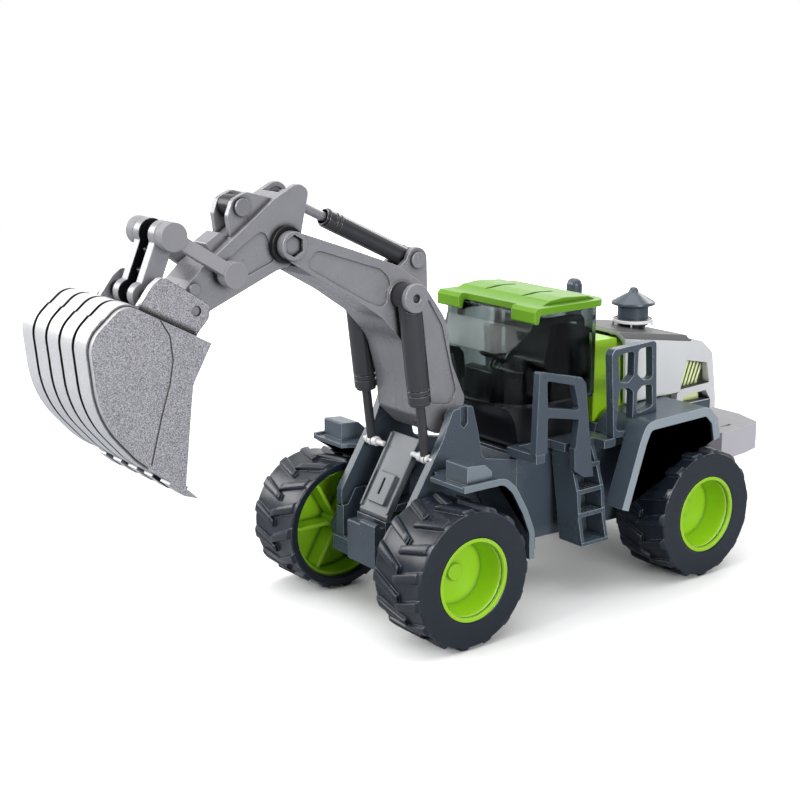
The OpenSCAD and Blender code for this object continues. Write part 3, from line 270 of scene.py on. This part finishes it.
def bucket_coat(name):
    """Silver coat of the bucket: sparkling grain on the cheeks, smoother on the wrapped bands, painted shade in the
    grooves and on the band edges beside them, painted highlight and rubbing on hard edges, painted shade in creases.
    """
    material, tree, shader = shader_tree(name)
    geometry = tree.nodes.new("ShaderNodeNewGeometry")
    flat = tree.nodes.new("ShaderNodeVectorTransform")
    flat.vector_type, flat.convert_from, flat.convert_to = "NORMAL", "WORLD", "OBJECT"
    tree.links.new(geometry.outputs["Normal"], flat.inputs["Vector"])
    sideways = maths(tree, "ABSOLUTE", parts_of(tree, flat.outputs["Vector"])["Y"])
    cheek = spread(tree, sideways, 0, 1, 0.6, 0.8)
    spot = parts_of(tree, place(tree))
    phase = maths(tree, "FRACT", maths(tree, "DIVIDE", spot["Y"], GROOVE_PITCH * MM))
    off = maths(tree, "ABSOLUTE", maths(tree, "SUBTRACT", phase, 0.5))
    beyond = maths(tree, "GREATER_THAN", maths(tree, "ABSOLUTE", spot["Y"]), BANDED_HALF_WIDTH * MM)
    off = maths(tree, "ADD", off, beyond)
    # Mask of the grooves between the bands, for painted shade
    groove_shade = spread(tree, off, 1, 0, GROOVE_HALF, GROOVE_SOFT)
    flakes = noise(tree, 3300, 1, 0.8)
    sparkle = mixed(tree, spread(tree, flakes, 0, 1, 0.40, 0.60), (0.08, 0.08, 0.085), (0.52, 0.51, 0.55))
    smooth = mixed(tree, spread(tree, flakes, 0, 1, 0.35, 0.55), (0.44, 0.44, 0.45), (0.72, 0.72, 0.73))
    body = mixed(tree, cheek, smooth, sparkle)
    # Paler edges: painted highlight, also rubbing from handling
    body = mixed(tree, maths(tree, "MULTIPLY", edges(tree), 0.5), body, (0.9, 0.9, 0.9))
    # Painted shade in creases
    body = mixed(tree, maths(tree, "MULTIPLY", painted_crevice_shade(tree, 0.0015, 0.95, 0.60), 0.97), body, (0.01, 0.01, 0.011))
    # Painted shade: near-black in the grooves where they are shut in
    body = mixed(tree, maths(tree, "MULTIPLY", groove_shade, painted_crevice_shade(tree, 0.005, 0.97, 0.90)), body, (0.006, 0.006, 0.006))
    # Painted shade: near-black on the band edges beside the grooves
    beside = spread(tree, off, 1, 0, RIM_HALF, RIM_SOFT)
    rim = maths(tree, "MULTIPLY", beside, spread(tree, edges(tree), 0, 1, 0.02, 0.20))
    body = mixed(tree, rim, body, (0.006, 0.006, 0.006))
    tree.links.new(body, shader.inputs["Base Color"])
    rough = mixed(tree, cheek, (0.30, 0.30, 0.30), (0.42, 0.42, 0.42))
    tree.links.new(spread(tree, rough, 0.26, 0.46, 0.28, 0.44), shader.inputs["Roughness"])
    surface(shader, metallic=0.3)
    lumps = maths(tree, "MULTIPLY", flakes, maths(tree, "ADD", cheek, 0.1))
    grain(tree, shader, lumps, 0.00012, 0.8)
    return material


def capped_sides(name, side, top, edge_wear_and_highlight, gloss):
    """Pale panel whose upward faces are a darker grey."""
    material, tree, shader = shader_tree(name)
    geometry = tree.nodes.new("ShaderNodeNewGeometry")
    up = spread(tree, parts_of(tree, geometry.outputs["Normal"])["Z"], 0, 1, 0.28, 0.36)
    body = mixed(tree, up, side, top)
    body = mixed(tree, spread(tree, noise(tree, 24, 3), 0, 0.12), body, shade(top, 0.6))
    # Paler edges: painted highlight, also rubbing from handling
    body = mixed(tree, maths(tree, "MULTIPLY", edges(tree), 0.6), body, edge_wear_and_highlight)
    # Painted shade: darker in grooves and joints
    body = mixed(tree, maths(tree, "MULTIPLY", painted_crevice_shade(tree), 0.9), body, shade(top, 0.1))
    tree.links.new(body, shader.inputs["Base Color"])
    tree.links.new(spread(tree, noise(tree, 60, 3, 0.5), 0.30, 0.36), shader.inputs["Roughness"])
    surface(shader, spec=gloss)
    grain(tree, shader, noise(tree, 2000, 2), FINE_GRAIN)
    return material


def clear(name):
    """Smoky clear plastic of the cab glazing, its tint crossed by vertical bands of painted reflection."""
    material, tree, shader = shader_tree(name)
    # Painted reflection: vertical bands of paler tint
    painted_reflections = spread(tree, noise(tree, 60, 3, 0.5, (1, 1, 0.06)), 0, 1, 0.35, 0.65)
    tree.links.new(mixed(tree, painted_reflections, (0.34, 0.40, 0.38), (0.68, 0.74, 0.72)), shader.inputs["Base Color"])
    shader.inputs["Transmission Weight"].default_value = 1.0
    shader.inputs["IOR"].default_value = 1.2
    tree.links.new(spread(tree, noise(tree, 90, 2), 0.02, 0.07), shader.inputs["Roughness"])
    surface(shader, spec=0.4)
    grain(tree, shader, noise(tree, 45, 2), 0.0004, 0.25)
    return material


SLATE = (0.058, 0.077, 0.099)
ARM = (0.28, 0.278, 0.295)
# In each finish the pale colour after the roughness is painted on hard edges: painted highlight, also rubbing
finish = {
    "slate_plastic": moulded("slate", SLATE, 0.25, (0.62, 0.69, 0.75), 1.0, spec=0.5),
    "lime_plastic": moulded("lime", (0.31, 0.59, 0.014), 0.32, (0.62, 0.86, 0.30), 0.6, 0.05),
    "silver_plastic": moulded("silver", (0.62, 0.615, 0.64), 0.32, (0.9, 0.9, 0.9), 0.6, 0.05, metallic=0.3),
    "arm_plastic": brushed_metal_look("arm", ARM, 0.28, (0.72, 0.72, 0.74)),
    "bucket_plastic": bucket_coat("bucket"),
    "black_plastic": moulded("black", (0.012, 0.012, 0.014), 0.22, (0.16, 0.16, 0.17), 0.5, 0.2),
    "white_plastic": moulded("white", (0.82, 0.82, 0.82), 0.25, (0.95, 0.95, 0.95), 0.4, 0.03),
    "clear_plastic": clear("clear"),
    "tyre_rubber": moulded("tyre", (0.010, 0.015, 0.024), 0.28, (0.20, 0.24, 0.29), 0.9, 0.15, spec=0.55),
    "steel": moulded("steel", (0.6, 0.6, 0.62), 0.28, (0.9, 0.9, 0.9), 0.5, 0.05, metallic=1.0),
}
slot_of = {s["node"]: s["material_slot"] for s in record["subparts"]}


# ---- CAD nodes: rounded edges and finishes ----------------------------------------------------

ROUNDING = 0.3


def soften(obj):
    """Rounds a hard-edged mesh for shading: coplanar triangles joined, edges bevelled, flat faces kept flat."""
    weld = obj.modifiers.new("weld", "WELD")
    weld.merge_threshold = 2e-6
    flat = obj.modifiers.new("flat", "DECIMATE")
    flat.decimate_type = "DISSOLVE"
    flat.angle_limit = math.radians(0.4)
    bevel = obj.modifiers.new("round", "BEVEL")
    bevel.width = ROUNDING * MM
    bevel.segments = 2
    bevel.limit_method = "ANGLE"
    bevel.angle_limit = math.radians(30)
    bevel.miter_outer = "MITER_ARC"
    bevel.use_clamp_overlap = True
    even = obj.modifiers.new("even", "WEIGHTED_NORMAL")
    even.mode = "FACE_AREA_WITH_ANGLE"
    even.weight = 80
    even.keep_sharp = False


for name, obj in nodes.items():
    obj.data.materials.clear()
    obj.data.materials.append(finish[slot_of[name]])
    for polygon in obj.data.polygons:
        polygon.use_smooth = True
    soften(obj)


# Half the gap between the H-link's plates; the link is painted black inside it as painted shade
LINK_GAP = 4.75


def pins_of(name, painted_shade_ranges, colour):
    """Pin material painted black over some distances from the middle plane, in millimetres: painted shade where the
    pins lie in shaded gaps between plates.
    """
    material, tree, shader = shader_tree(name)
    across = maths(tree, "ABSOLUTE", parts_of(tree, place(tree))["Y"])
    body = mixed(tree, spread(tree, noise(tree, 60, 3), 0, 1), shade(colour, 0.9), shade(colour, 1.1))
    # Painted shade: black over the listed distances
    for start, stop in painted_shade_ranges:
        above = maths(tree, "GREATER_THAN", across, start * MM)
        below = maths(tree, "LESS_THAN", across, stop * MM)
        body = mixed(tree, maths(tree, "MULTIPLY", above, below), body, (0.010, 0.010, 0.012))
    # Paler edges: painted highlight
    body = mixed(tree, maths(tree, "MULTIPLY", edges(tree), 0.5), body, (0.5, 0.5, 0.52))
    tree.links.new(body, shader.inputs["Base Color"])
    tree.links.new(spread(tree, noise(tree, 60, 3, 0.5), 0.26, 0.32), shader.inputs["Roughness"])
    surface(shader, metallic=0.4)
    grain(tree, shader, noise(tree, 1800, 2), FINE_GRAIN)
    return material


def lipped(name, colour, lip, share):
    """Slate plastic whose sideways faces, the lips of the fenders, are painted paler as a painted highlight."""
    material, tree, shader = shader_tree(name)
    geometry = tree.nodes.new("ShaderNodeNewGeometry")
    sideways = maths(tree, "ABSOLUTE", parts_of(tree, geometry.outputs["Normal"])["Y"])
    body = mixed(tree, spread(tree, noise(tree, 24, 3), 0, 1), shade(colour, 0.92), shade(colour, 1.08))
    # Painted highlight: sideways faces paler
    body = mixed(tree, spread(tree, sideways, 0, share, 0.85, 0.95), body, lip)
    # Paler edges: painted highlight, also rubbing from handling
    body = mixed(tree, maths(tree, "MULTIPLY", edges(tree), 0.9), body, (0.55, 0.62, 0.68))
    # Painted shade: darker in grooves and joints
    body = mixed(tree, maths(tree, "MULTIPLY", painted_crevice_shade(tree), 0.95), body, shade(colour, 0.12))
    tree.links.new(body, shader.inputs["Base Color"])
    tree.links.new(spread(tree, noise(tree, 60, 3, 0.5), 0.22, 0.28), shader.inputs["Roughness"])
    surface(shader)
    grain(tree, shader, noise(tree, 2200, 2), FINE_GRAIN)
    return material


# The pale colours here are painted on hard edges: painted highlight, also rubbing
hood = capped_sides("hood", (0.68, 0.69, 0.70), (0.06, 0.06, 0.065), (0.9, 0.9, 0.9), 0.15)
counterweight = capped_sides("counterweight", (0.52, 0.50, 0.54), (0.17, 0.165, 0.18), (0.85, 0.85, 0.87), 0.3)
roof = moulded("roof", (0.13, 0.31, 0.012), 0.30, (0.55, 0.80, 0.36), 1.0, 0.05, spec=0.25)
cylinder = brushed_metal_look("cylinder", (0.050, 0.050, 0.056), 0.17, (0.50, 0.50, 0.52))
special = {
    "hood_top": hood,
    "rear_shroud": hood,
    "counterweight": counterweight,
    "rear_grille": moulded("grille", (0.86, 0.97, 0.48), 0.35, (0.9, 1.0, 0.7), 0.6, 0.03),
    "cab_roof": roof,
    # Link and pins painted black, as painted shade, where they lie in the shaded gaps between plates
    "h_link": pins_of("link", ((-1, LINK_GAP),), ARM),
    "stick_pins": pins_of("stick_pins", ((-1, 9.8), (10.9, 40)), ARM),
    "bucket_pins": pins_of("bucket_pins", ((-1, 20.5),), ARM),
    "center_cover": moulded("cover", (0.13, 0.145, 0.16), 0.30, (0.5, 0.53, 0.56), 0.8),
}
dog_bone = moulded("dog_bone", shade(ARM, 0.86), 0.42, (0.60, 0.60, 0.62), 0.8, spec=0.12)
for side in ("left", "right"):
    special[f"dog_bone_{side}"] = dog_bone
    special[f"boom_barrel_{side}"] = cylinder
    special[f"boom_rod_{side}"] = cylinder
    # The lip colours are painted highlight on the fenders' sideways faces
    special[f"rear_fender_{side}"] = lipped("rear_fender", SLATE, (0.30, 0.35, 0.39), 0.9)
    special[f"front_fender_{side}"] = lipped("front_fender", SLATE, (0.20, 0.24, 0.27), 0.8)
special["stick_barrel"] = cylinder
for name, material in special.items():
    nodes[name].data.materials[0] = material


# ---- Mesh tools --------------------------------------------------------------------------------

SHARP_ANGLE = 38


def piece(name, shape, slot, body, replaces=()):
    """Makes an object from a Shape, whose vertices are in millimetres in the row frame."""
    mesh = bpy.data.meshes.new(name)
    mesh.from_pydata([tuple(c * MM for c in v) for v in shape.verts], [], shape.faces)
    mesh.validate()
    work = bmesh.new()
    work.from_mesh(mesh)
    bmesh.ops.recalc_face_normals(work, faces=work.faces)
    work.to_mesh(mesh)
    work.free()
    mesh.shade_smooth()
    mesh.set_sharp_from_angle(angle=math.radians(SHARP_ANGLE))
    mesh.materials.append(finish[slot])
    obj = bpy.data.objects.new(name, mesh)
    scene.collection.objects.link(obj)
    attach(obj, body)
    if replaces:
        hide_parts(*replaces)
    return obj


class Shape:
    """Collects the vertices and faces of one piece."""

    def __init__(self):
        self.verts, self.faces = [], []

    def loft(self, rings):
        """A closed body through rings of equal length."""
        base, n = len(self.verts), len(rings[0])
        for ring in rings:
            self.verts.extend(ring)
        for k in range(len(rings) - 1):
            for i in range(n):
                j = (i + 1) % n
                a, b = base + k * n, base + (k + 1) * n
                self.faces.append((a + i, a + j, b + j, b + i))
        self.faces.append(tuple(base + i for i in range(n)))
        self.faces.append(tuple(base + (len(rings) - 1) * n + i for i in range(n)))

    def lathe(self, profile, at, steps=96):
        """A closed [radius, y] profile turned about the line along Y through at = (x, z)."""
        base, n = len(self.verts), len(profile)
        for k in range(steps):
            a = 2 * math.pi * k / steps
            for r, y in profile:
                self.verts.append((at[0] + r * math.cos(a), y, at[1] + r * math.sin(a)))
        for k in range(steps):
            here, there = base + k * n, base + ((k + 1) % steps) * n
            for i in range(n):
                j = (i + 1) % n
                self.faces.append((here + i, here + j, there + j, there + i))


def box_mm(node):
    """Lowest and highest corner of a CAD node's box, in millimetres."""
    a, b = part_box(node)
    return a / MM, b / MM


def arc(cx, cy, r, start, end, steps):
    """Points along an arc, with its angles in degrees."""
    turns = (math.radians(start + (end - start) * i / steps) for i in range(steps + 1))
    return [(cx + r * math.cos(t), cy + r * math.sin(t)) for t in turns]


# ---- Tyres -------------------------------------------------------------------------------------

# Depths are below the tops of the lugs, in millimetres
LUGS = 15
LUG_HEIGHT, DRUM_DEPTH, BEAD_DEPTH = 2.4, 7, 16.6
RAKE = {"outer": math.radians(16), "inner": math.radians(22)}
SHOULDER_ANGLE = {"front": 14.5, "rear": 6.0}


def carcass(shape, at, side, inner, width, big):
    """Tyre body: flat side walls with a crisp shoulder line, and a gently crowned tread floor between."""
    floor, bead, drum = big - LUG_HEIGHT, big - BEAD_DEPTH, big - DRUM_DEPTH
    shoulder = arc(floor - 0.5, 0.9, 0.9, 270, 350, 5) + [(floor + 0.2, 2.2), (floor - 0.1, 4.5)]
    crown = [(floor - 0.05, width * 0.3), (floor + 0.15, width / 2), (floor - 0.05, width * 0.7)]
    section = [(drum, 1.0), (drum + 0.4, 0.3), (drum + 1, 0.0), (big - 4, 0.05)] + shoulder + crown
    section += [(r, width - y) for r, y in reversed(shoulder)]
    section += [(big - 4, width - 0.05), (big - 9, width - 0.12), (big - 14.5, width), (bead + 0.6, width - 0.1)]
    section += [(bead, width - 0.6), (bead, width - 4), (drum, width - 4)]
    shape.lathe([(r, side * (inner + y)) for r, y in section], at, 120)


def lug(shape, at, side, inner, width, big, phase, row):
    """One bar of the tread, from the middle of the tyre out to a side wall, widening as it goes."""
    floor, middle = big - LUG_HEIGHT, width / 2
    heading = 1 if row == "outer" else -1
    reach = [-1.6, -1.2, 2.5, 6, 9.5, 13, 16, middle - 1.8, middle - 0.9, middle - 0.25]
    heights = [0.9, 1.0, 1.0, 1.0, 1.0, 1.0, 1.0, 1.0, 0.62, 0.12]
    rings = []
    for along, h in zip(reach, heights):
        share = max(0.0, along) / middle
        w = 4.4 + 1.8 * share
        angle = phase - math.tan(RAKE[row]) * (middle - along) / floor
        lift, y = LUG_HEIGHT * h, side * (inner + middle + heading * along)
        flank = [(0.62, -1.1), (0.56, 0.1 * lift), (0.50, 0.55 * lift), (0.44, 0.90 * lift), (0.37, lift)]
        ring = []
        for across, up in [(-c, up) for c, up in flank] + [(0, lift)] + flank[::-1]:
            r, turn = floor + up, angle + across * w / floor
            ring.append((at[0] + r * math.cos(turn), y, at[1] + r * math.sin(turn)))
        rings.append(ring)
    shape.loft(rings)


def tyre(axle, hand):
    """One tyre: the carcass and two staggered rows of lugs, in the CAD tyre's place."""
    node = f"{axle}_tyre_{hand}"
    a, b = box_mm(node)
    side = 1 if hand == "left" else -1
    inner, width, big = min(abs(a.y), abs(b.y)), b.y - a.y, (b.z - a.z) / 2
    at = ((a.x + b.x) / 2, (a.z + b.z) / 2)
    shape = Shape()
    carcass(shape, at, side, inner, width, big)
    pitch = 2 * math.pi / LUGS
    start = math.radians(SHOULDER_ANGLE[axle])
    for i in range(LUGS):
        lug(shape, at, side, inner, width, big, start + i * pitch, "outer")
        lug(shape, at, side, inner, width, big, start + (i + 0.5) * pitch, "inner")
    piece(f"{axle}_tread_{hand}", shape, "tyre_rubber", f"{axle}_wheels", (node,))


for axle in ("front", "rear"):
    for hand in ("left", "right"):
        tyre(axle, hand)


# ---- Small parts -----------------------------------------------------------------------------

def sleeve(name, at, r_in, r_out, y0, y1, slot, body):
    """A plain turned bush along Y with broken corners."""
    c = 0.3
    shape = Shape()
    shape.lathe([(r_in, y0), (r_out - c, y0), (r_out, y0 + c), (r_out, y1 - c), (r_out - c, y1), (r_in, y1)], at, 48)
    piece(name, shape, slot, body)


def upright(profile, at, steps=64):
    """A closed [radius, z] profile turned about the vertical line through at = (x, y)."""
    shape = Shape()
    shape.lathe(profile, (0, 0), steps)
    shape.verts = [(at[0] + x, at[1] + z, y) for x, y, z in shape.verts]
    return shape


def rounded_corner(before, corner, after, r, steps=10):
    """Points of the arc that rounds a corner of a path in the XZ plane."""
    corner = Vector(corner)
    u, v = (Vector(before) - corner).normalized(), (Vector(after) - corner).normalized()
    half = u.angle(v) / 2
    middle = corner + (u + v).normalized() * (r / math.sin(half))
    start, end = corner + u * (r / math.tan(half)) - middle, corner + v * (r / math.tan(half)) - middle
    return [middle + (start * (1 - k / steps) + end * (k / steps)).normalized() * r for k in range(steps + 1)]


BAND_THICK, BAND_GAP = 1.2, 2.4


def bucket_band_tops():
    """Carries the bucket's five raised bands over its top corner, up to the foot of the ears."""
    a, b = box_mm("bucket_shell")
    # The shell's outline before its corner is rounded: along the top plate to the corner, then down the back
    lip = Vector((a.x, b.z - 22.11))
    corner = Vector((a.x + 45.2, b.z + 1.99))
    back = Vector((a.x + 64, b.z - 13.61))
    along, down = (corner - lip).normalized(), (back - corner).normalized()
    path = [lip + along * d for d in (41.6, 42.4)]
    path += rounded_corner(lip, corner, back, 10)
    path.append(corner + down * 12.8)
    rings = []
    for k, point in enumerate(path):
        way = (path[min(k + 1, len(path) - 1)] - path[max(k - 1, 0)]).normalized()
        out = Vector((-way.y, way.x))
        rings.append((point - out * 0.5, point + out * (BAND_THICK if k else 0.1)))
    shape = Shape()
    for i in range(5):
        y0 = a.y + 2 + i * GROOVE_PITCH + BAND_GAP / 2
        y1 = y0 + GROOVE_PITCH - BAND_GAP
        shape.loft([[(p.x, y0, p.y), (q.x, y0, q.y), (q.x, y1, q.y), (p.x, y1, p.y)] for p, q in rings])
    piece("bucket_band_tops", shape, "bucket_plastic", "bucket")


def intake_stand():
    """Pale collar on four short posts round the foot of the air intake."""
    a, b = box_mm("air_intake")
    at = ((a.x + b.x) / 2, (a.y + b.y) / 2)
    ring = upright([(12.1, a.z + 10.1), (12.9, a.z + 10.1), (12.9, a.z + 12.1), (12.1, a.z + 12.1)], at)
    for turn in (40, 130, 220, 310):
        x = at[0] + 12.3 * math.cos(math.radians(turn))
        y = at[1] + 12.3 * math.sin(math.radians(turn))
        circle = arc(x, y, 0.55, 0, 330, 11)
        ring.loft([[(px, py, z) for px, py in circle] for z in (a.z + 7.6, a.z + 10.6)])
    piece("intake_collar", ring, "white_plastic", "carrier")


def rod_foot_bushes():
    """White sleeves on the eyes at the feet of the two boom cylinders' rods."""
    a, b = box_mm("tower_pins")
    at = ((a.x + b.x) / 2, (a.z + b.z) / 2)
    for hand, s in (("left", 1), ("right", -1)):
        sleeve(f"rod_bush_{hand}", at, 2.6, 3.1, *sorted((s * 23.5, s * 26.5)), "white_plastic", "boom_rods")


bucket_band_tops()
intake_stand()
rod_foot_bushes()


# ---- Studio ------------------------------------------------------------------------------------

def studio():
    """White room: a pale floor that fades into a bright surround, and large soft lights from above and in front."""
    floor_mesh = bpy.data.meshes.new("floor")
    half = 1.7
    square = [(-half, -half, 0), (half, -half, 0), (half, half, 0), (-half, half, 0)]
    floor_mesh.from_pydata(square, [], [(0, 1, 2, 3)])
    floor = bpy.data.objects.new("floor", floor_mesh)
    scene.collection.objects.link(floor)
    material, tree, shader = shader_tree("pale_floor")
    path = tree.nodes.new("ShaderNodeLightPath")
    tone = mixed(tree, spread(tree, noise(tree, 1.5, 2), 0, 1), (0.93, 0.93, 0.93), (0.95, 0.95, 0.95))
    bounce = mixed(tree, path.outputs["Is Camera Ray"], (0.30, 0.31, 0.33), tone)
    tree.links.new(bounce, shader.inputs["Base Color"])
    shader.inputs["Roughness"].default_value = 0.8
    shader.inputs["Specular IOR Level"].default_value = 0.1
    shader.inputs["Emission Color"].default_value = (1, 1, 1, 1)
    span = tree.nodes.new("ShaderNodeVectorMath")
    span.operation = "LENGTH"
    tree.links.new(place(tree), span.inputs[0])
    fade = spread(tree, span.outputs["Value"], 0, 1, 0.35, 0.95)
    tree.links.new(maths(tree, "MULTIPLY", fade, path.outputs["Is Camera Ray"]), shader.inputs["Emission Strength"])
    floor_mesh.materials.append(material)
    floor.location.z = low.z

    world = bpy.data.worlds.new("studio")
    scene.world = world
    world.use_nodes = True
    tree = world.node_tree
    sky = tree.nodes["Background"]
    towards = parts_of(tree, tree.nodes.new("ShaderNodeTexCoord").outputs["Generated"])
    backward, sideward = maths(tree, "MULTIPLY", towards["X"], -0.70), maths(tree, "MULTIPLY", towards["Y"], -0.71)
    behind = maths(tree, "ADD", backward, sideward)
    wall = mixed(tree, spread(tree, behind, 0, 1, 0.0, 0.6), (0.10, 0.11, 0.13), (1.25, 1.25, 1.25))
    glow = mixed(tree, spread(tree, towards["Z"], 0, 1, 0.25, 0.9), wall, (0.60, 0.60, 0.60))
    path = tree.nodes.new("ShaderNodeLightPath")
    tree.links.new(mixed(tree, path.outputs["Is Camera Ray"], glow, (1.0, 1.0, 1.0)), sky.inputs["Color"])
    sky.inputs["Strength"].default_value = 1.0

    def softbox(name, place, aim, size, power):
        """A large soft area light at place, turned to aim."""
        data = bpy.data.lights.new(name, "AREA")
        data.shape = "RECTANGLE"
        data.size, data.size_y = size
        data.energy = power
        light = bpy.data.objects.new(name, data)
        scene.collection.objects.link(light)
        light.location = place
        light.rotation_euler = (Vector(aim) - Vector(place)).to_track_quat("-Z", "Y").to_euler()

    softbox("overhead", centre + Vector((0.1, 0, 1.6)), centre, (2.2, 2.2), 24)
    softbox("front", centre + Vector((1.5, -0.1, 0.7)), centre, (0.9, 0.9), 16)
    softbox("front_right", centre + Vector((1.0, -1.4, 0.75)), centre, (0.9, 0.9), 12)
    softbox("side", centre + Vector((0.2, 1.5, 0.35)), centre, (0.9, 0.5), 15)
    softbox("rim", centre + Vector((-1.3, -0.6, 0.9)), centre, (1.0, 0.6), 8)


studio()
